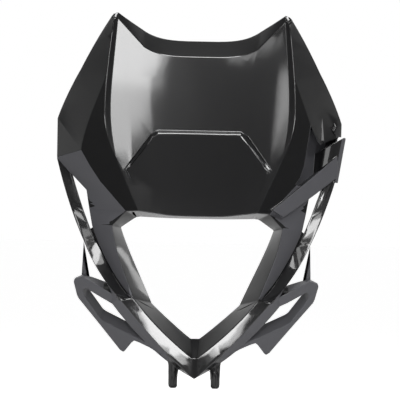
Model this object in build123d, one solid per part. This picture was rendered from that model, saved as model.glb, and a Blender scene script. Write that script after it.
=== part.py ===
from build123d import *
import os
from math import comb

import numpy as np

# Motorcycle headlight mask: one injection moulding in gloss black plastic.
# Millimetres. X is to the viewer's right, Y runs back from the front, Z is up.
# Heights and depths below are counted from the tip of the V bar at the bottom.

# Wall of the moulding, and how far a hidden facet may bend and still be made flat
wall = 2.8
hidden_bend = 1.0

# Number-plate panel: it leans back and is dished across
panel_base_height = 162.0
panel_base_depth = 24.0
panel_lean = 0.50
panel_dish = 9.0
panel_foot_half_width = 59.5

# Ridges up both sides of the panel: straight to the knee, then raised
knee_half_width = 82.5
knee_rise = 55.5
ridge_half_width = 95.3
ridge_height = 3.0

# Wings, horns and the lip between the horns
wing_half_width = 143.3
wing_rear_depth = 120.0
horn_half_width = 91.0
horn_height = 365.4
horn_round = 7.0
lip_height = 338.0
lip_depth = 126.0
lip_drop = 16.5

# Brow plate over the headlight
brow_height = 247.0
brow_half_width = 41.5
brow_step = 2.4
brow_ledge = 10.0
brow_rise = 5.0
brow_end_rise = 0.5
brow_edge = 3.0
brow_fade = 61.0
brow_dish_share = 0.9

# Headlight opening
opening_half_width = 76.0
opening_depth = 60.0
opening_floor = 40.0
opening_flat = 8.4

# V bar and the struts that leave it
fork_half_width = 62.0
fork_height = 79.0
bar_width = 19.5
tip_depth = 8.0
tip_flat = 4.6
tip_round = 1.2
strut_depth = 10.0
strut_draft = 1.0

# Strap loops
loop_depth = 14.0
loop_sweep = 8.0
loop_flare = 0.9
loop_inset = 2.3
loop_rise = 10.3

# Locating pins under the V bar, slightly thicker above the seat.
# The bracket that they go into is a little below the tip.
pin_radius = 4.5
pin_root_radius = 4.8
pin_edge = 2.0
pin_spacing = 42.0
pin_drop = 9.5
pin_seat = 7.0
pin_top = 30.0
pin_depth = 24.0
bracket_drop = 5.0
rib_wall = 2.4

# Hose guide in one wing: a leaning tube with a slanted mouth, behind a strap
guide_wall = 2.5
strap_thickness = 7.0
tube_radius = 15.0
tube_length = 46.0
tube_centre = (128.9, 110.0, 223.0)
tube_tilt = 9.0
mouth_centre = (130.9, 110.0, 235.4)
mouth_slant = 30.0
recess_depth = 2.4
recess_step = 3.1
flap_slope = 1.6


def mirrored(point):
    return (-point[0], point[1], point[2])


def part_way(start, end, share):
    return tuple(a + share * (b - a) for a, b in zip(start, end))


def bowed(start, end, *bows):
    """Evenly stepped points from start to end, the inner ones moved off the straight line."""
    count = len(bows) + 1
    inner = []
    for i, bow in enumerate(bows):
        straight = part_way(start, end, (i + 1) / count)
        inner.append(tuple(a + b for a, b in zip(straight, bow)))
    return [tuple(start), *inner, tuple(end)]


def panel_depth(x, z):
    across = x / ridge_half_width
    return panel_base_depth + panel_lean * (z - panel_base_height) - panel_dish * across**2


def on_panel(x, z, raised=0.0):
    return (x, panel_depth(x, z) - raised, z)


def control_row(points):
    """Control points of the curve that passes through the points at even steps."""
    degree = len(points) - 1
    steps = [i / degree for i in range(degree + 1)]
    basis = [[comb(degree, j) * t**j * (1 - t) ** (degree - j) for j in range(degree + 1)] for t in steps]
    return np.linalg.solve(np.array(basis), np.array(points, dtype=float))


def control_net(grid):
    """Control net of the surface that passes through a grid of points."""
    along = np.array([control_row(row) for row in grid])
    return np.array([control_row(along[:, j]) for j in range(along.shape[1])]).transpose(1, 0, 2)


def bezier_point(net, u, v):
    rows, columns = net.shape[:2]
    bu = [comb(rows - 1, i) * u**i * (1 - u) ** (rows - 1 - i) for i in range(rows)]
    bv = [comb(columns - 1, j) * v**j * (1 - v) ** (columns - 1 - j) for j in range(columns)]
    return np.einsum("i,j,ijk->k", np.array(bu), np.array(bv), net)


class Patch:
    """A curved facet through a grid of points, with its outer side towards `facing`."""

    def __init__(self, *curves, facing=(0, -1, 0)):
        self.grid = [[tuple(float(c) for c in point) for point in curve] for curve in curves]
        self.facing = facing
        if np.dot(self.normal(0.5, 0.5), facing) < 0:
            self.grid.reverse()

    def normal(self, u, v, step=0.01):
        net = control_net(self.grid)
        low_u, high_u = max(u - step, 0), min(u + step, 1)
        low_v, high_v = max(v - step, 0), min(v + step, 1)
        du = bezier_point(net, high_u, v) - bezier_point(net, low_u, v)
        dv = bezier_point(net, u, high_v) - bezier_point(net, u, low_v)
        cross = np.cross(du, dv)
        size = np.linalg.norm(cross)
        return cross / size if size > 1e-9 else np.zeros(3)

    def mirror(self):
        turned = [[mirrored(point) for point in curve] for curve in self.grid]
        return Patch(*turned, facing=mirrored(self.facing))

    def faces(self, flat_limit=0.0):
        """One curved face, or flat triangles where the patch has straight sides and bends less than the limit."""
        if len(self.grid) == len(self.grid[0]) == 2:
            corners = distinct(self.grid[0] + self.grid[1][::-1])
            if len(corners) == 3:
                return [flat_face(corners)]
            a, b, c, d = np.array(corners)
            bend = (a + c - b - d) / 4
            if np.linalg.norm(bend) < flat_limit:
                if np.dot(bend, self.facing) > 0:
                    a, b, c, d = b, c, d, a
                return [flat_face([a, b, c]), flat_face([c, d, a])]
        return [Face.make_bezier_surface([[tuple(point) for point in row] for row in control_net(self.grid)])]


def flat_face(corners):
    return Face(Wire.make_polygon([Vector(*corner) for corner in corners], close=True))


def key(point):
    return tuple(round(c, 5) for c in point)


def distinct(loop):
    """The points of a closed loop without the ones that repeat the point before."""
    return [point for i, point in enumerate(loop) if key(point) != key(loop[i - 1])]


def inward_shift(patches, thickness):
    """How far each corner and edge point moves to leave an even wall behind the patches."""
    normals = {}
    for patch in patches:
        rows, columns = len(patch.grid), len(patch.grid[0])
        for i in range(rows):
            for j in range(columns):
                normal = patch.normal(i / (rows - 1), j / (columns - 1))
                if np.linalg.norm(normal) > 0:
                    normals.setdefault(key(patch.grid[i][j]), []).append(normal)
    shift = {}
    for point, found in normals.items():
        average = np.mean(found, axis=0)
        shift[point] = -thickness * average / max(np.dot(average, average), 0.35)
    return shift


def boundary_rows(patch):
    grid = patch.grid
    columns = list(zip(*grid))
    return [list(grid[0]), list(columns[-1]), list(reversed(grid[-1])), list(reversed(columns[0]))]


def open_edges(patches):
    """The edges that only one patch has."""
    seen = {}
    for patch in patches:
        for row in boundary_rows(patch):
            if key(row[0]) == key(row[-1]):
                continue
            name = frozenset((key(row[0]), key(row[-1])))
            seen.setdefault(name, []).append(row)
    return [rows[0] for rows in seen.values() if len(rows) == 1]


def closed_solid(outer, inner, moved, outer_bend=0.0):
    """Solid between the outer patches and the inner ones, whose points `moved` gives."""
    faces = [face for patch in outer for face in patch.faces(outer_bend)]
    for patch in inner:
        faces += Patch(*[[moved(p) for p in row] for row in patch.grid], facing=patch.facing).faces(hidden_bend)
    for row in open_edges(outer):
        faces += Patch(row, [moved(p) for p in row]).faces(hidden_bend)
    return Solid(Shell(faces))


def moulded_shell(outer, inner, merged, thickness):
    """Even wall behind the outer patches."""
    shift = inward_shift(inner, thickness)

    def moved(point):
        start = merged.get(key(point), point)
        return tuple(np.array(start) + shift[key(start)])

    return closed_solid(outer, inner, moved)


knee_height = panel_base_height + knee_rise


def up_wing(share):
    """Height at a share of the way from the ridge's knee to the top of the horn."""
    return knee_height + share * (horn_height - knee_height)


# Panel: stacked strips between the two ridges, all on one dished surface
strip_shares = [0.0, 0.495, 0.748, 1.0]
points_up_strip = [2, 2, 2, 4, 3]
centre_bow = 0.06
ridge_start = (panel_foot_half_width, panel_base_height + 4.0)
knee = (knee_half_width, knee_height)
split_start, split_knee = (38.0, panel_base_height + 1.3), (44.0, knee_height - 2.5)
split_line = [part_way(split_start, split_knee, share) for share in strip_shares]
split_line += [(53.6, up_wing(0.558)), (57.0, lip_height - 7.5)]
centre_foot, centre_knee = panel_base_height - 0.5, knee_height - 2.5
centre_heights = [centre_foot + share * (centre_knee - centre_foot) for share in strip_shares]
centre_heights += [up_wing(0.558), lip_height - lip_drop]

ridge_foot, ridge_low, ridge_mid, ridge_knee = [
    on_panel(*part_way(ridge_start, knee, share)) for share in strip_shares
]
crest_middle = (ridge_half_width - 1.3, up_wing(0.578))
crest_end = (horn_half_width - 2.5, up_wing(0.947))
shoulder_middle = (ridge_half_width - 6.7, up_wing(0.578))
shoulder_end = (horn_half_width - 6.5, up_wing(0.960))
crest_line = bowed(knee, crest_middle, (6.9, 2.0), (5.1, 0.5))
crest_rise = [0.0, ridge_height * 0.7, ridge_height, ridge_height]
crest = [on_panel(x, z, raised) for (x, z), raised in zip(crest_line, crest_rise)]
crest_top = [on_panel(x, z, ridge_height) for x, z in bowed(crest_middle, crest_end, (0.2, 0.8))]
shoulder = [on_panel(x, z) for x, z in bowed(knee, shoulder_middle, (3.7, 1.5), (3.2, 0.0))]
shoulder_top = [on_panel(x, z) for x, z in bowed(shoulder_middle, shoulder_end, (0.0, -0.2))]


def centre_row(edge, middle):
    """Points across the panel, from the left split line to the right one."""
    half = on_panel(edge[0] / 2, middle + (edge[2] - middle) * centre_bow)
    return [mirrored(edge), mirrored(half), on_panel(0, middle), half, edge]


def between(start, end, count):
    return [on_panel(*part_way(start, end, i / (count - 1))) for i in range(count)]


def panel_strip(inside, outside):
    """Strip of the dished panel between two upright lines, given as points on it."""
    middle = [on_panel((a[0] + b[0]) / 2, (a[2] + b[2]) / 2) for a, b in zip(inside, outside)]
    return Patch(inside, middle, outside)


def centre_patch(level, count):
    rows = []
    for i, edge in enumerate(between(split_line[level], split_line[level + 1], count)):
        low, high = centre_heights[level], centre_heights[level + 1]
        rows.append(centre_row(edge, low + (high - low) * i / (count - 1)))
    return Patch(*rows)


ridge_side = [[ridge_foot, ridge_low], [ridge_low, ridge_mid], [ridge_mid, ridge_knee], shoulder, shoulder_top]
centre_patches = [centre_patch(level, count) for level, count in enumerate(points_up_strip)]
panel_side = [
    panel_strip(between(split_line[level], split_line[level + 1], len(ridge)), ridge)
    for level, ridge in enumerate(ridge_side)
]
bottom_row = centre_row(on_panel(*split_line[0]), centre_heights[0])
bottom_strip = between(split_line[0], ridge_start, 3)
top_of_panel = centre_row(on_panel(*split_line[5]), centre_heights[5])

# Ridge bands, from the panel's edge up to the crest
band_middle = [part_way(a, b, 0.5) for a, b in zip(shoulder, crest)]
band_middle_top = [part_way(a, b, 0.5) for a, b in zip(shoulder_top, crest_top)]
ridge_bands = [Patch(shoulder, band_middle, crest), Patch(shoulder_top, band_middle_top, crest_top)]

# Top lip, turned back from the panel, and the rounded tips of the horns
lip_side_height = lip_height + 11.3
horn_tip = (horn_half_width - horn_round, wing_rear_depth, horn_height)
horn_side = (horn_half_width + 0.5, wing_rear_depth - 2, horn_height - 0.7 * horn_round)
horn_curve = bowed(horn_tip, horn_side, (0.9, -0.3, 0.9))
lip_middle = (60.0, lip_depth, lip_side_height)
lip_row = bowed((0.0, lip_depth, lip_height), lip_middle, (0.0, 0.0, -4.8))
lip_slant = bowed(lip_middle, horn_tip, (0.3, 0.0, 0.0))
lip_centre = Patch(top_of_panel, [mirrored(lip_row[2]), mirrored(lip_row[1])] + lip_row)
lip_side = [
    Patch(between(split_line[5], shoulder_end, 3), lip_slant),
    Patch([shoulder_top[2], band_middle_top[2], crest_top[2]], horn_curve),
]


# Wings
def on_wing(inset, forward, height):
    """Point by its distances in from the widest part of the wing and forward of its rear edge."""
    return (wing_half_width - inset, wing_rear_depth - forward, height)


wing_turn = on_wing(22.3, -1.0, up_wing(0.607))
wing_side = bowed(on_wing(0.0, 0.0, up_wing(0.270)), wing_turn, (1.4, 0.7, -0.5), (1.1, 0.3, 0.1))
wing_top = bowed(wing_turn, horn_side, (0.2, 0.5, 1.5))
wing_foot = on_wing(0.4, 8.0, panel_base_height + 56.0)
wing_fold = on_wing(25.4, 47.0, panel_base_height + 63.5)
fold_low = on_wing(34.7, 56.5, panel_base_height + 47.7)
fold_foot = on_wing(45.0, 66.0, panel_base_height + 32.9)
slot_top = on_wing(14.9, 24.0, panel_base_height + 40.2)
slot_inner = on_wing(31.3, 43.0, panel_base_height + 23.6)
cheek_high = on_wing(34.5, 49.5, panel_base_height + 4.5)
chamfer_top = (panel_foot_half_width + 12.0, panel_base_depth + 7.0, panel_base_height + 3.3)
soft_fold = bowed(wing_fold, crest[3], (2.3, -3.4, -0.3), (1.2, -3.7, -0.2))
wing_patches = [
    Patch(crest_top, wing_top),
    Patch(crest, soft_fold),
    Patch(soft_fold, wing_side),
    Patch([wing_fold, wing_fold], [wing_side[0], wing_foot]),
    Patch([wing_fold, fold_low], [wing_foot, slot_top]),
    Patch([fold_low, fold_foot], [slot_top, slot_inner]),
    Patch([ridge_knee, ridge_mid], [wing_fold, fold_low]),
    Patch([ridge_mid, ridge_low], [fold_low, fold_foot]),
    Patch([ridge_low, ridge_foot], [fold_foot, chamfer_top]),
    Patch([fold_foot, chamfer_top], [slot_inner, cheek_high]),
]

# Cheeks beside the headlight opening, down to the fork where the V bar and the struts meet
fork = (fork_half_width, panel_base_depth, fork_height)
cheek_front_top = (opening_half_width + 9.0, panel_base_depth + 13.0, panel_base_height - 11.0)
cheek_outer_top = on_wing(37.8, 56.0, panel_base_height - 12.0)
cheek_front = bowed(cheek_front_top, fork, (2.7, 0.3, 0.0), (1.8, 0.2, 0.0))
cheek_outer = bowed(cheek_outer_top, fork, (4.5, 2.3, 0.2), (3.3, 1.7, -3.7))
cheek_patches = [
    Patch([chamfer_top, cheek_front_top], [cheek_high, cheek_outer_top]),
    Patch(cheek_front, cheek_outer),
]

# V bar: bright face, underside, and a narrow flat at its tip
strut_corner = (fork_half_width + 13.0, panel_base_depth - 4.5, fork_height - 2.5)
loop_corner = (fork_half_width + 22.6, panel_base_depth + 11.0, fork_height - 5.3)
tip_upper = (tip_flat / 2, tip_depth + 8.0, bar_width + 0.6)
tip_lower = (tip_flat / 2, tip_depth, tip_round + 0.2)
tip_rear = (tip_flat / 2, tip_depth + 14.0, tip_round)
v_upper = bowed(fork, tip_upper, (-1.1, -0.8, -4.9), (-2.2, -0.7, -5.0))
v_lower = bowed(strut_corner, tip_lower, (-0.3, -1.2, -2.9), (1.5, -1.3, -1.4))
v_rear = bowed(loop_corner, tip_rear, (-0.2, -2.2, -7.0), (0.3, -1.3, -6.7))
v_patches = [Patch(v_upper, v_lower), Patch(v_lower, v_rear, facing=(0.3, -0.3, -1))]


def across_tip(edge, drop):
    """Three points across the tip of the V bar, the middle one lower by the drop."""
    return bowed(mirrored(edge), edge, (0.0, 0.0, -drop))


tip_row = across_tip(tip_upper, 0.1)
tip_patches = [
    Patch(tip_row, across_tip(tip_lower, tip_round)),
    Patch(across_tip(tip_lower, tip_round), across_tip(tip_rear, tip_round), facing=(0, -0.3, -1)),
]

# Outer struts, from the V bar up to the wings
strut_inner_middle = on_wing(41.5, 63.0, panel_base_height - 25.5)
strut_outer_middle = on_wing(29.8, 65.0, panel_base_height - 26.5)
strut_inner = bowed(fork, strut_inner_middle, (1.2, 0.0, -5.7), (1.8, 0.0, -1.3))
strut_inner_top = bowed(strut_inner_middle, slot_top, (-1.1, -2.5, -4.3))
strut_outer = bowed(strut_corner, strut_outer_middle, (2.2, -2.3, -1.9), (1.8, -2.2, -2.8))
strut_outer_top = bowed(strut_outer_middle, wing_foot, (0.8, -2.5, -3.8))


def flange(points):
    return [(x - strut_draft, y + strut_depth, z) for x, y, z in points]


strut_patches = [
    Patch(strut_inner, strut_outer),
    Patch(strut_inner_top, strut_outer_top),
    Patch(strut_outer, [loop_corner] + flange(strut_outer[1:]), facing=(1, 0, -0.4)),
    Patch(strut_outer_top, flange(strut_outer_top), facing=(1, 0, -0.4)),
]

# Reveal of the headlight opening
opening_top_height = panel_base_height - 3.0
opening_back = opening_depth - 16.0
opening_top = [
    (0.0, opening_back, opening_top_height),
    (19.0, opening_back, opening_top_height + 0.1),
    (38.0, opening_back + 2.0, opening_top_height + 0.4),
]
opening_shoulder = [
    (opening_half_width - 19.5, opening_back + 6.0, opening_top_height + 1.0),
    (opening_half_width - 15.0, opening_back + 8.0, opening_top_height + 0.5),
]
opening_high = (opening_half_width, opening_depth, opening_top_height - 10.0)
opening_low = (fork_half_width - 18.5, opening_depth - 11.0, fork_height - 5.0)
opening_end = (opening_flat / 2, opening_back - 3.8, opening_floor)
opening_side = bowed(opening_high, opening_low, (0.8, -0.3, -0.5), (0.2, 0.3, -0.5))
opening_v = bowed(opening_low, opening_end, (1.1, 0.0, 0.3), (-0.3, -0.1, -1.0))
top_row = [mirrored(opening_top[2]), mirrored(opening_top[1])] + opening_top
reveal_centre = Patch(bottom_row, top_row, facing=(0, -0.3, -1))
reveal_tip = Patch(tip_row, across_tip(opening_end, 0.0), facing=(0, -0.3, 1))
reveal_patches = [
    Patch(bottom_strip, bowed(opening_top[2], opening_shoulder[0], (0.0, 0.0, 0.0)), facing=(0, -0.3, -1)),
    Patch([ridge_foot, chamfer_top], opening_shoulder, facing=(0, -0.3, -1)),
    Patch([chamfer_top, cheek_front_top], [opening_shoulder[1], opening_high], facing=(-1, -0.3, -1)),
    Patch(cheek_front, opening_side, facing=(-1, -0.3, 0)),
    Patch(v_upper, opening_v, facing=(-0.3, -0.3, 1)),
]

side = panel_side + lip_side + wing_patches + cheek_patches + v_patches + strut_patches + reveal_patches
middle = centre_patches + [lip_centre, reveal_centre, reveal_tip] + tip_patches
both = middle + side + [patch.mirror() for patch in side]
bands = ridge_bands + [patch.mirror() for patch in ridge_bands]

# Behind the ridge bands the wall runs straight across, so only the crest has a copy inside
merged = {}
for low, half, high in zip(
    shoulder[1:] + shoulder_top[1:], band_middle[1:] + band_middle_top[1:], crest[1:] + crest_top[1:]
):
    for point in (low, half):
        merged[key(point)] = high
        merged[key(mirrored(point))] = mirrored(high)
inner = [
    Patch(*[[merged.get(key(point), point) for point in row] for row in patch.grid], facing=patch.facing)
    for patch in both
]

shell = moulded_shell(both + bands, inner, merged, wall)

# Brow: a raised plate over the headlight, stepped at its top and sides and fading into the panel below
fade_height = brow_height - brow_fade


def on_brow(x, z):
    across = x / ridge_half_width
    raised = brow_rise * (z - fade_height) / (brow_height - brow_step - fade_height)
    return (x, panel_depth(x, z) - raised + (1 - brow_dish_share) * panel_dish * across**2, z)


def row_across(point_on, x, z):
    return [point_on(-x, z), point_on(0.0, z), point_on(x, z)]


def brow_block():
    top_edge_height, crease_height = brow_height - brow_step, brow_height - brow_ledge
    top_back = row_across(on_panel, brow_half_width, brow_height)
    top_edge = row_across(on_brow, brow_half_width - 0.5, top_edge_height)
    crease = row_across(on_brow, brow_half_width + 1.5, crease_height)
    foot = row_across(on_brow, brow_half_width + 1.5, fade_height)
    corner_back = on_panel(brow_half_width + 7.0, brow_height - 4.5)
    corner_edge = on_brow(brow_half_width + 7.0 - brow_edge * 0.8, brow_height - 4.5 - brow_edge)
    end_height = fade_height + 21.3
    end_back = on_panel(brow_half_width + 32.5, end_height)
    end_edge = on_panel(brow_half_width + 32.5 - brow_edge, end_height - brow_edge / 2, brow_end_rise)
    corner_foot, end_foot = on_brow(brow_half_width + 4.5, fade_height), on_brow(brow_half_width + 20.5, fade_height)
    sides = [
        Patch([top_back[2], corner_back], [top_edge[2], corner_edge]),
        Patch([corner_back, end_back], [corner_edge, end_edge]),
        Patch([top_edge[2], corner_edge], [crease[2], crease[2]]),
        Patch([crease[2], foot[2]], [corner_edge, corner_foot]),
        Patch([corner_edge, corner_foot], [end_edge, end_foot]),
    ]
    patches = [Patch(top_back, top_edge), Patch(top_edge, crease), Patch(crease, foot)]
    patches += sides + [patch.mirror() for patch in sides]
    return closed_solid(patches, patches, lambda p: on_panel(p[0], p[2], -wall / 2))


# Strap loops: slotted ears that stand out and back from the V bar.
# Each pair is a point on the outside and one round the slot, as (x, z, share of the rise behind it).
loop_start = (50.8, 35.9)
loop_pairs = [
    [(36.0, 25.5, 1.0), (46.0, 36.5, 1.0)],
    [(45.0, 29.8, 1.0), (51.1, 36.2, 1.0)],
    [(55.0, 34.3, 1.0), (54.0, 37.6, 1.0)],
    [(60.5, 36.2, 1.0), (58.0, 39.4, 1.0)],
    [(63.1, 34.1, 1.0), (61.0, 40.8, 1.0)],
    [(69.8, 25.5, 1.0), (66.2, 43.3, 1.0)],
    [(71.5, 24.5, 1.0), (70.0, 45.1, 1.0)],
    [(74.7, 26.5, 1.0), (75.0, 47.5, 1.0)],
    [(95.5, 51.5, 1.0), (91.5, 55.3, 1.0)],
    [(98.0, 54.4, 1.0), (94.6, 57.4, 1.0)],
    [(117.4, 77.2, 1.0), (110.5, 78.5, 1.0)],
    [(119.0, 80.5, 0.9), (112.6, 84.2, 0.9)],
    [(122.4, 93.8, 0.2), (111.9, 86.7, 0.9)],
    [(121.6, 96.5, 0.1), (109.5, 87.4, 0.9)],
    [(113.2, 99.5, 0.2), (106.7, 85.5, 0.85)],
    [(109.0, 97.0, 0.32), (103.5, 83.7, 0.8)],
    [(104.1, 94.3, 0.46), (99.0, 81.1, 0.8)],
    [(93.0, 88.0, 0.7), (91.0, 76.6, 0.82)],
    [(84.9, 83.7, 0.82), (84.0, 73.4, 0.82)],
    [(80.5, 79.5, 0.82), (80.5, 71.0, 0.82)],
]


def on_loop(x, z):
    """Point on the front of a loop, which runs on from the underside of the V bar."""
    run = (loop_corner[0] - loop_start[0], loop_corner[2] - loop_start[1])
    length = (run[0] ** 2 + run[1] ** 2) ** 0.5
    along = ((x - loop_start[0]) * run[0] + (z - loop_start[1]) * run[1]) / length
    across = ((x - loop_start[0]) * run[1] - (z - loop_start[1]) * run[0]) / length
    start_depth = loop_corner[1] - loop_sweep
    flare = loop_flare * across if across > 0 or along > length else 0.0
    return (x, start_depth + loop_sweep * along / length + flare, z)


def strap_loop():
    rows, rear = [], {}
    for pair in loop_pairs:
        rows.append([on_loop(x, z) for x, z, share in pair])
        for (x, z, share), front in zip(pair, rows[-1]):
            rear[key(front)] = (x - share * loop_inset, front[1] + loop_depth, z + share * loop_rise)
    strips = [Patch(low, high) for low, high in zip(rows, rows[1:])]
    return closed_solid(strips, strips, lambda p: rear[key(p)], hidden_bend)


# Locating pins with a rib behind each, inside the hollow of the V bar
def locating_pin(side):
    x = side * pin_spacing / 2
    pin = Pos(x, pin_depth, (pin_seat - pin_drop) / 2) * Cylinder(pin_radius, pin_seat + pin_drop)
    pin = chamfer(pin.faces().sort_by(Axis.Z)[0].edges(), pin_edge)
    root = Pos(x, pin_depth, (pin_top + pin_seat) / 2) * Cylinder(pin_root_radius, pin_top - pin_seat)
    rib_points = [(19.5, 35.0), (11.5, 19.5), (24.0, 15.5), (41.5, 50.5)]
    rib = Wire.make_polygon([Vector(x - rib_wall / 2, y, z) for y, z in rib_points], close=True)
    return [pin + root, Solid.extrude(Face(rib), Vector(rib_wall, 0, 0))]


# Hose guide on the rider's side: a window in the wing, a strap across it and a short tube
window_outline = [
    (111.5, 254.6), (108.0, 230.5), (105.4, 213.4), (101.6, 202.3), (97.0, 195.5), (108.0, 194.0),
    (150.0, 222.0), (150.0, 242.5), (140.7, 244.4), (137.8, 242.1), (120.9, 235.7), (115.5, 245.0),
]


def window_cutter():
    outline = Wire.make_polygon([Vector(x, 0, z) for x, z in window_outline], close=True)
    return Solid.extrude(Face(outline), Vector(0, wing_rear_depth + 40, 0))


def guide_tray():
    rim = [(110.0, 73.0, 257.0), (95.0, 54.5, 188.5), (136.0, 106.0, 217.0), (140.0, 117.0, 250.0)]
    floor = [(102.0, 84.0, 254.0), (90.0, 66.0, 187.0), (124.0, 112.0, 213.0), (128.0, 118.0, 246.0)]
    patches = [Patch([floor[0], floor[1]], [floor[3], floor[2]])]
    for i in range(4):
        j = (i + 1) % 4
        middle = np.mean(np.array(floor), axis=0)
        toward = middle - (np.array(rim[i]) + np.array(rim[j])) / 2
        patches.append(Patch([rim[i], rim[j]], [floor[i], floor[j]], facing=tuple(toward)))
    return moulded_shell(patches, patches, {}, guide_wall)


def guide_strap():
    upper = [(74.3, 27.0, 169.7), (101.8, 55.5, 192.8), (139.0, 96.0, 225.0)]
    lower = [(85.5, 37.5, 162.4), (111.0, 66.0, 181.0), (140.5, 102.0, 204.5)]
    front = [Patch(upper, lower)]
    return closed_solid(front, front, lambda p: (p[0] - 1.5, p[1] + strap_thickness, p[2] + 0.5))


def guide_bar(radius):
    """Leaning round bar, cut off at the slanted mouth of the tube."""
    bar = Pos(*tube_centre) * Rot(0, tube_tilt, 0) * Cylinder(radius, tube_length)
    above = Box(tube_length, tube_length, tube_length, align=(Align.CENTER, Align.CENTER, Align.MIN))
    return bar - Pos(*mouth_centre) * Rot(0, -mouth_slant, 0) * above


def flap_recess():
    """Cutter for the shallow triangle in the flap over the tube, deepest beside the step at its left."""
    top = on_wing(20.4, 25.0, knee_height + 48.0)
    left_foot = on_wing(21.1, 38.1, knee_height + 18.0)
    right_foot = on_wing(3.0, 9.4, knee_height + 23.5)
    x, y, z = left_foot
    deep_foot = (x + recess_step, y + flap_slope * recess_step + recess_depth, z)
    floor = [Patch([top, top], [left_foot, deep_foot]), Patch([top, top], [deep_foot, right_foot])]
    return closed_solid(floor, floor, lambda p: (p[0], 0.0, p[2]))


mask = shell - window_cutter() - flap_recess()
loop = strap_loop()
extras = [brow_block(), guide_tray(), guide_strap(), guide_bar(tube_radius), loop, loop.mirror(Plane.YZ)]
for hand in (1, -1):
    extras += locating_pin(hand)
for extra in extras:
    mask = mask + extra
mask = mask - guide_bar(tube_radius - guide_wall)
mask = Pos(0, -pin_depth, bracket_drop) * mask

os.makedirs("parts", exist_ok=True)
export_step(mask, "parts/mask_shell.step")
print("volume", round(mask.volume), "valid", mask.is_valid, "solids", len(mask.solids()))
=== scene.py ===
import bmesh
import bpy
import math
from mathutils import Matrix, Vector
from mathutils.bvhtree import BVHTree


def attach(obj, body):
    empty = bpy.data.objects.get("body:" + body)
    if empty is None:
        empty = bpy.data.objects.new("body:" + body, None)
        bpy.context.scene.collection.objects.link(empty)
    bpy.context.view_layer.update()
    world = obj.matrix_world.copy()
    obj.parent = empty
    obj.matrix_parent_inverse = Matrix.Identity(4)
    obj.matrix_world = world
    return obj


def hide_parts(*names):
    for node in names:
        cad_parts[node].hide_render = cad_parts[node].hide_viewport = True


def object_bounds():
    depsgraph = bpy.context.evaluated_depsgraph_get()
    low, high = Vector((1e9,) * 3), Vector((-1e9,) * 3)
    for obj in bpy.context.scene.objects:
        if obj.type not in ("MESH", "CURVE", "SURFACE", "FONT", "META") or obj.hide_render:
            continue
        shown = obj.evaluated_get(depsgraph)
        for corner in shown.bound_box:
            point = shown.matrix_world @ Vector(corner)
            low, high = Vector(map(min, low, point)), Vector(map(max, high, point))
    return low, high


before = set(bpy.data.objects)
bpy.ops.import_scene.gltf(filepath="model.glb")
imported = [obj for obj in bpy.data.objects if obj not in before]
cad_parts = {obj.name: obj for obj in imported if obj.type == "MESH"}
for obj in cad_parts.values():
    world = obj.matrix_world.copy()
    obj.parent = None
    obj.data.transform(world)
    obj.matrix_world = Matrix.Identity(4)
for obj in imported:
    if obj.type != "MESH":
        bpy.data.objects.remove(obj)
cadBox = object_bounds()
boxBottom, boxTop = cadBox[0][2], cadBox[1][2]
mmPerMetre = 1000

# The photograph: 400 pixels across, 1 pixel to 1 mm, taken level from straight in front
view = {
    "across": 0.0021,                       # middle of the picture, right of the mask's middle
    "depth": 0.0400,
    "belowTop": 0.1873,                     # middle of the picture, below the tips of the horns
    "width": 0.400,                         # metres across the picture at the mask
    "distance": 9.0,                        # far away, so that nothing narrows towards the back
    "farthest": 100,                        # nothing past it is seen
    "roll": 1.25,                           # degrees, the photograph is turned a little clockwise
    "sensor": 36.0,
}
viewCentre = Vector((view["across"], view["depth"], boxTop - view["belowTop"]))


def addCamera():
    data = bpy.data.cameras.new("camera")
    data.sensor_width = view["sensor"]
    data.lens = view["sensor"] * view["distance"] / view["width"]
    data.clip_end = view["farthest"]
    camera = bpy.data.objects.new("camera", data)
    bpy.context.scene.collection.objects.link(camera)
    place = Matrix.Translation(viewCentre - Vector((0, view["distance"], 0)))
    level = Matrix.Rotation(math.radians(90), 4, "X")
    camera.matrix_world = place @ level @ Matrix.Rotation(math.radians(view["roll"]), 4, "Z")
    bpy.context.scene.camera = camera
    print("camera: lens", data.lens)


# An sRGB hex value as a linear colour
def linear(code):
    channels = [int(code[i:i + 2], 16) / 255 for i in (1, 3, 5)]
    return [c / 12.92 if c <= 0.04045 else ((c + 0.055) / 1.055) ** 2.4 for c in channels] + [1.0]


# Adds a node: settings name its sockets or its properties, links name its sockets
def addNode(tree, kind, settings=None, **links):
    node = tree.nodes.new(kind)
    for name, value in (settings or {}).items():
        if name in node.inputs:
            node.inputs[name].default_value = value
        else:
            setattr(node, name, value)
    for name, source in links.items():
        tree.links.new(source, node.inputs[name.replace("_", " ")])
    return node


def newMaterial(name):
    material = bpy.data.materials.new(name)
    material.use_nodes = True
    material.node_tree.nodes.clear()
    return material


# Polypropylene from a polished mould: deep black under a mirror skin, with the faint ripple of the flow
gloss = {
    "colour": "#101011",
    "roughness": 0.30,
    "ior": 1.49,
    "specular": 0.15,                       # the skin does most of the shining
    "skinRoughness": 0.07,
    "skinIor": 1.5,
    "rippleSize": 16.0,                     # mm from crest to crest
    "rippleDepth": 0.00001,                 # metres
    "peelSize": 0.9,                        # mm, orange peel
    "peelDepth": 0.000002,
}


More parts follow.
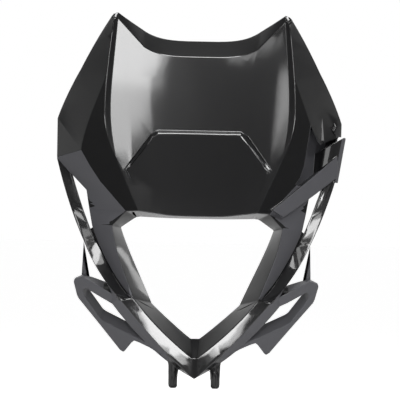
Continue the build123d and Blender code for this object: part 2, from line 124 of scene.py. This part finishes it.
def glossPlastic():
    material = newMaterial("polished mould black polypropylene")
    tree = material.node_tree
    where = addNode(tree, "ShaderNodeTexCoord").outputs["Object"]
    ripple = addNode(tree, "ShaderNodeTexNoise", {
        "Scale": mmPerMetre / gloss["rippleSize"], "Detail": 1.0}, Vector=where)
    peel = addNode(tree, "ShaderNodeTexNoise", {
        "Scale": mmPerMetre / gloss["peelSize"], "Detail": 2.0}, Vector=where)
    flow = addNode(tree, "ShaderNodeBump", {"Distance": gloss["rippleDepth"]}, Height=ripple.outputs["Fac"])
    skin = addNode(tree, "ShaderNodeBump", {"Distance": gloss["peelDepth"]},
                   Height=peel.outputs["Fac"], Normal=flow.outputs[0])
    shader = addNode(tree, "ShaderNodeBsdfPrincipled", {
        "Base Color": linear(gloss["colour"]), "Roughness": gloss["roughness"], "IOR": gloss["ior"],
        "Specular IOR Level": gloss["specular"],
        "Coat Weight": 1.0, "Coat Roughness": gloss["skinRoughness"], "Coat IOR": gloss["skinIor"],
    }, Normal=skin.outputs[0], Coat_Normal=skin.outputs[0])
    addNode(tree, "ShaderNodeOutputMaterial", Surface=shader.outputs[0])
    print("material:", material.name)
    return material


# The same plastic from a spark-eroded mould: a fine even grain on a base colour lightened to grey; the grain is
# the finish, and the grey is partly its dullness and partly painted reflection of the light that these faces
# catch
satinAndSheen = {
    # lighter than the black plastic: partly the grain's dullness, partly painted reflection
    "colour": "#505054",
    "roughness": 0.50,
    "ior": 1.49,
    "grainSize": 0.7,                       # mm, twice the real grain so that it shows
    "grainDepth": 0.00003,                  # metres
    "grainStrength": 0.6,
}


def satinAndSheenPlastic():
    material = newMaterial("spark eroded black polypropylene with painted sheen")
    tree = material.node_tree
    where = addNode(tree, "ShaderNodeTexCoord").outputs["Object"]
    grain = addNode(tree, "ShaderNodeTexNoise", {
        "Scale": mmPerMetre / satinAndSheen["grainSize"], "Detail": 3.0}, Vector=where)
    bump = addNode(tree, "ShaderNodeBump", {
        "Strength": satinAndSheen["grainStrength"], "Distance": satinAndSheen["grainDepth"]}, Height=grain.outputs["Fac"])
    shader = addNode(tree, "ShaderNodeBsdfPrincipled", {
        "Base Color": linear(satinAndSheen["colour"]), "Roughness": satinAndSheen["roughness"], "IOR": satinAndSheen["ior"],
    }, Normal=bump.outputs[0])
    addNode(tree, "ShaderNodeOutputMaterial", Surface=shader.outputs[0])
    print("material:", material.name)
    return material


# A finished piece from its bmesh, moulded in the given plastics
def newPiece(name, bm, plastics):
    mesh = bpy.data.meshes.new(name)
    bm.to_mesh(mesh)
    bm.free()
    for plastic in plastics:
        mesh.materials.append(plastic)
    piece = bpy.data.objects.new(name, mesh)
    bpy.context.scene.collection.objects.link(piece)
    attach(piece, "root")
    print("piece:", name, "faces", len(mesh.polygons))
    return piece


# Where the grain and its painted grey reflection are, in metres and as shares of a normal: behind, under the V
# bar and on the cheeks
grainAndSheenPlaces = {
    "backFacing": 0.15,                     # how far a face turns to the back
    "barCorner": (0.0750, 0.0818),          # the V bar's lower edge: its outer end, across and up
    "barSlope": 1.033,
    "barMiddle": 0.0270,                    # nearer the middle are the pins
    "barInset": 0.0015,                     # the grain starts this far below the edge
    "cheekLow": 0.0860,
    "cheekHigh": 0.1740,
    "cheekOut": 0.1120,
    "cheekTurn": 0.55,                      # how far a cheek turns outwards
    "cheekTilt": 0.36,                      # and the most that it turns up or down
    "wingHigh": 0.2500,                     # the wing's lower facet, which turns down
    "wingTurn": 0.70,
    "wingTilt": 0.05,
}


def isGrainedAndSheened(face):
    centre, normal = face.calc_center_median(), face.normal
    across, outward = abs(centre.x), normal.x * math.copysign(1, centre.x)
    if normal.y > grainAndSheenPlaces["backFacing"]:
        return True
    corner, height = grainAndSheenPlaces["barCorner"]
    edge = height + (across - corner) * grainAndSheenPlaces["barSlope"]
    if across > grainAndSheenPlaces["barMiddle"] and centre.z < edge - grainAndSheenPlaces["barInset"]:
        return True
    if outward > grainAndSheenPlaces["wingTurn"] and normal.z < grainAndSheenPlaces["wingTilt"]:
        return grainAndSheenPlaces["cheekLow"] < centre.z < grainAndSheenPlaces["wingHigh"]
    return (grainAndSheenPlaces["cheekLow"] < centre.z < grainAndSheenPlaces["cheekHigh"] and across < grainAndSheenPlaces["cheekOut"]
            and outward > grainAndSheenPlaces["cheekTurn"] and abs(normal.z) < grainAndSheenPlaces["cheekTilt"])


# Edges of the moulding, in metres: small radii that catch the light
mould = {
    "weld": 0.00001,
    "shortest": 0.0007,                     # shorter edges are closed up first, so that the radii fit
    "flatAngle": 0.8,                       # degrees, faces that turn less than this are one face
    "edgeAngle": 12,                        # degrees, edges that turn more than this are rounded
    "edge": 0.0008,
    "segments": 2,
    "strayLimit": 0.0006,                   # how far a rounded edge may leave the moulding
}


# The brow's rounded front edge, in metres, which carries the long highlight
brow = {
    "halfWidth": 0.0415,
    "height": 0.2496,
    "slack": 0.0006,                        # how far the edge may be from that height
    "depth": (0.0340, 0.0370),
    "round": 0.0034,
    "segments": 4,
}


def isBrowFront(edge):
    low, high = brow["depth"]
    return all(abs(v.co.x) < brow["halfWidth"] and abs(v.co.z - brow["height"]) < brow["slack"]
               and low < v.co.y < high for v in edge.verts)


def roundEdges(bm, edges, radius, segments):
    bmesh.ops.bevel(bm, geom=edges, offset=radius, offset_type="OFFSET", affect="EDGES",
                    segments=segments, profile=0.5, material=-1, clamp_overlap=False)


def maskCopy():
    bm = bmesh.new()
    bm.from_mesh(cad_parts["mask_shell"].data)
    bmesh.ops.remove_doubles(bm, verts=bm.verts, dist=mould["weld"])
    bmesh.ops.remove_doubles(bm, verts=bm.verts, dist=mould["shortest"])
    bmesh.ops.dissolve_degenerate(bm, edges=bm.edges, dist=mould["weld"])
    bmesh.ops.dissolve_limit(bm, angle_limit=math.radians(mould["flatAngle"]), verts=bm.verts, edges=bm.edges)
    for face in bm.faces:
        # grained faces take the satin plastic, whose grey is partly painted reflection
        face.material_index = 1 if isGrainedAndSheened(face) else 0
        face.smooth = True
    surface = BVHTree.FromBMesh(bm)
    sharp = [e for e in bm.edges if e.is_manifold and e.calc_face_angle(0) > math.radians(mould["edgeAngle"])]
    front = [e for e in sharp if isBrowFront(e)]
    sharp = [e for e in sharp if not isBrowFront(e)]
    print("mask: sharp edges", len(sharp), "on the brow's front", len(front))
    roundEdges(bm, front, brow["round"], brow["segments"])
    roundEdges(bm, [e for e in sharp if e.is_valid], mould["edge"], mould["segments"])
    for vert in bm.verts:                   # a radius that overshoots at a pointed corner is drawn back
        nearest, _, _, gap = surface.find_nearest(vert.co)
        if gap > mould["strayLimit"]:
            vert.co = nearest
    bmesh.ops.triangulate(bm, faces=[f for f in bm.faces if len(f.verts) > 4])
    piece = newPiece("moulded_mask", bm, [glossMaterial, satinAndSheenMaterial])
    piece.modifiers.new("even faces", "WEIGHTED_NORMAL")
    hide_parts("mask_shell")


# Thin webs that close the foot of each slot, between cheek and strut, in metres on the right side
webs = {
    "line": [(0.0640, 0.016, 0.0800), (0.0797, 0.025, 0.1033), (0.0916, 0.033, 0.1234), (0.0996, 0.040, 0.1386),
             (0.1055, 0.046, 0.1530)],
    "across": (0.8, 0.0, -0.6),             # square to the slot, seen from the front
    "halfWidth": 0.0042,
    "wall": 0.0015,
}


def addWeb(name, side):
    flip = Matrix.Diagonal((side, 1, 1, 1))
    points = [flip @ Vector(p) for p in webs["line"]]
    reach = flip @ Vector(webs["across"]) * webs["halfWidth"]
    bm = bmesh.new()
    ends = [bm.verts.new(points[0] - reach), bm.verts.new(points[0] + reach)]
    edge = bm.edges.new(ends)
    for before, after in zip(points, points[1:]):
        grown = bmesh.ops.extrude_edge_only(bm, edges=[edge])["geom"]
        edge = next(g for g in grown if isinstance(g, bmesh.types.BMEdge))
        bmesh.ops.translate(bm, vec=after - before, verts=list(edge.verts))
    bmesh.ops.recalc_face_normals(bm, faces=bm.faces)
    bmesh.ops.solidify(bm, geom=bm.faces[:], thickness=webs["wall"])
    bmesh.ops.recalc_face_normals(bm, faces=bm.faces)
    newPiece(name, bm, [glossMaterial])


# Where the lights are aimed, in metres
places = {
    "panel": Vector((0.0, 0.080, 0.410)),
    "panel right": Vector((0.0, 0.045, 0.335)),
    "brow": Vector((0.0, 0.040, 0.250)),
    "bar": Vector((0.0, 0.0, 0.065)),
    "left strut": Vector((-0.120, 0.050, 0.170)),
    "right strut": Vector((0.115, 0.040, 0.155)),
    "left ridge": Vector((-0.090, 0.030, 0.290)),
    "right ridge": Vector((0.090, 0.030, 0.290)),
    "left reveal": Vector((-0.069, 0.020, 0.118)),
    "whole": viewCentre,
}

# Each light, 1 m from its aim: turn to the viewer's right and up and roll in degrees, size in metres
lights = {
    "key softbox": {"aim": "panel", "turn": (18.2, 52.4), "size": (0.20, 0.26), "roll": 10, "glow": 10.0},
    "key foot": {"aim": "panel", "turn": (18.0, 44.0), "size": (0.18, 0.030), "roll": 0, "glow": 4.0},
    "panel strip": {"aim": "panel right", "turn": (-17.6, 51.5), "size": (0.022, 0.09), "roll": 0, "glow": 7.0},
    "bar light right": {"aim": "bar", "turn": (46, 47.5), "size": (0.22, 0.21), "roll": 0, "glow": 9.0},
    "bar light left": {"aim": "bar", "turn": (-47, 46.5), "size": (0.10, 0.14), "roll": 0, "glow": 9.0},
    "overhead": {"aim": "brow", "turn": (0, 88), "size": (0.24, 0.32), "roll": 0, "glow": 15.0},
    "left strut light": {"aim": "left strut", "turn": (-17, 64), "size": (0.07, 0.16), "roll": 0, "glow": 8.0},
    "right strut light": {"aim": "right strut", "turn": (9, 65), "size": (0.27, 0.16), "roll": 0, "glow": 5.0},
    "right strut foot": {"aim": "right strut", "turn": (-24, 66), "size": (0.07, 0.20), "roll": 0, "glow": 3.5},
    "left ridge light": {"aim": "left ridge", "turn": (-45, 37), "size": (0.34, 0.15), "roll": 28,
                         "glow": 10.0},
    "right ridge light": {"aim": "right ridge", "turn": (45, 37), "size": (0.34, 0.15), "roll": -28,
                          "glow": 10.0},
    "reveal light": {"aim": "left reveal", "turn": (128, 21), "size": (0.05, 0.07), "roll": 0, "glow": 3.0},
    "front fill": {"aim": "whole", "turn": (0, 8), "size": (0.60, 0.60), "roll": 0, "glow": 3.0},
}


def addLight(name, light):
    data = bpy.data.lights.new(name, "AREA")
    data.shape = "RECTANGLE"
    data.size, data.size_y = light["size"]
    data.energy = light["glow"] * math.pi * data.size * data.size_y
    lamp = bpy.data.objects.new(name, data)
    bpy.context.scene.collection.objects.link(lamp)
    lamp.visible_camera = False
    azimuth, elevation = (math.radians(a) for a in light["turn"])
    toward = Vector((math.sin(azimuth) * math.cos(elevation), -math.cos(azimuth) * math.cos(elevation),
                     math.sin(elevation)))
    turn = toward.to_track_quat("Z", "Y").to_matrix().to_4x4()
    roll = Matrix.Rotation(math.radians(light["roll"]), 4, "Z")
    lamp.matrix_world = Matrix.Translation(places[light["aim"]] + toward) @ turn @ roll


studio = {
    "floorColour": "#efefef",
    "floorSize": 60,
    "floorGap": 0.0005,                     # below the tips of the pins
    "floorLift": 0.75,                      # what the camera sees on top of the lit floor
    "front": 0.14,                          # how bright the room in front of the mask is
    "behind": 1.0,                          # and the white sweep behind it
    "turnStart": 0.28,                      # share of the way to the back where the sweep begins
    "turnEnd": 0.85,
}


def addFloor():
    bpy.ops.mesh.primitive_plane_add(size=studio["floorSize"], location=(0, 0, boxBottom - studio["floorGap"]))
    floor = bpy.context.object
    floor.name = "floor"
    material = newMaterial("pale studio floor")
    tree = material.node_tree
    path = addNode(tree, "ShaderNodeLightPath")
    plain = addNode(tree, "ShaderNodeBsdfDiffuse", {"Color": linear(studio["floorColour"])})
    seen = addNode(tree, "ShaderNodeMath", {"operation": "MULTIPLY"})
    tree.links.new(path.outputs["Is Camera Ray"], seen.inputs[0])
    seen.inputs[1].default_value = studio["floorLift"]
    lift = addNode(tree, "ShaderNodeEmission", {"Color": (1, 1, 1, 1)}, Strength=seen.outputs[0])
    both = addNode(tree, "ShaderNodeAddShader")
    tree.links.new(plain.outputs[0], both.inputs[0])
    tree.links.new(lift.outputs[0], both.inputs[1])
    addNode(tree, "ShaderNodeOutputMaterial", Surface=both.outputs[0])
    floor.data.materials.append(material)
    print("floor: height", floor.location.z)


# A dim room in front that the mask reflects, and a white sweep behind it
def addWorld():
    world = bpy.data.worlds.new("studio")
    bpy.context.scene.world = world
    world.use_nodes = True
    tree = world.node_tree
    tree.nodes.clear()
    direction = addNode(tree, "ShaderNodeTexCoord").outputs["Generated"]
    parts = addNode(tree, "ShaderNodeSeparateXYZ", Vector=direction)
    ramp = addNode(tree, "ShaderNodeMapRange", {
        "interpolation_type": "SMOOTHSTEP", "From Min": studio["turnStart"], "From Max": studio["turnEnd"],
        "To Min": studio["front"], "To Max": studio["behind"]}, Value=parts.outputs["Y"])
    path = addNode(tree, "ShaderNodeLightPath")
    room = addNode(tree, "ShaderNodeBackground", {"Color": (1, 1, 1, 1)}, Strength=ramp.outputs[0])
    white = addNode(tree, "ShaderNodeBackground", {"Color": (1, 1, 1, 1), "Strength": 1.0})
    mix = addNode(tree, "ShaderNodeMixShader")
    tree.links.new(path.outputs["Is Camera Ray"], mix.inputs[0])
    tree.links.new(room.outputs[0], mix.inputs[1])
    tree.links.new(white.outputs[0], mix.inputs[2])
    addNode(tree, "ShaderNodeOutputWorld", Surface=mix.outputs[0])
    print("world: ready")


addCamera()
addWorld()
addFloor()
for lightName, light in lights.items():
    addLight(lightName, light)
print("studio: lights", len(lights))
glossMaterial, satinAndSheenMaterial = glossPlastic(), satinAndSheenPlastic()
maskCopy()
addWeb("left_slot_web", -1)
addWeb("right_slot_web", 1)
bpy.context.scene.view_settings.view_transform = "Standard"
